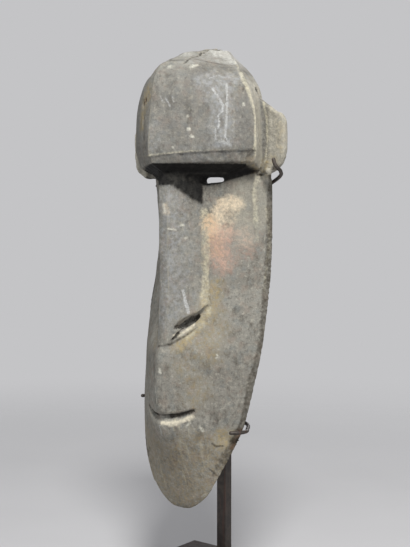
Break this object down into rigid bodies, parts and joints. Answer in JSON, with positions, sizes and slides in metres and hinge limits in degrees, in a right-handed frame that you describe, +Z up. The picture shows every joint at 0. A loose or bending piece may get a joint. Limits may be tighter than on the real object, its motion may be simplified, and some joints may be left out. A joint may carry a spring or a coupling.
{
  "type": "carved wooden face mask on a display stand",
  "caption": "Long carved wooden face mask with a keeled brow, blade nose and slab ears, held upright by wire cradles on a post.",
  "frame": {"origin": "centre of the foot's underside", "axes": "+Z up, the mask looks along -Y, +X is the mask's own left"},
  "size_m": [0.206, 0.1677, 0.5865],
  "materials": {
    "weathered_wood": "dry grey-brown hardwood with adze facets, worn pale edges and traces of cream and red earth pigment",
    "dark_stained_foot": "dark red-brown stained and waxed block",
    "blackened_steel": "blackened steel, brownish, low sheen"
  },
  "bodies": {
    "root": {"wooden_mask": "weathered_wood", "stand_foot": "dark_stained_foot", "stand_post": "blackened_steel", "upper_cradle_rod": "blackened_steel", "lower_cradle_rod": "blackened_steel"}
  },
  "joints": []
}
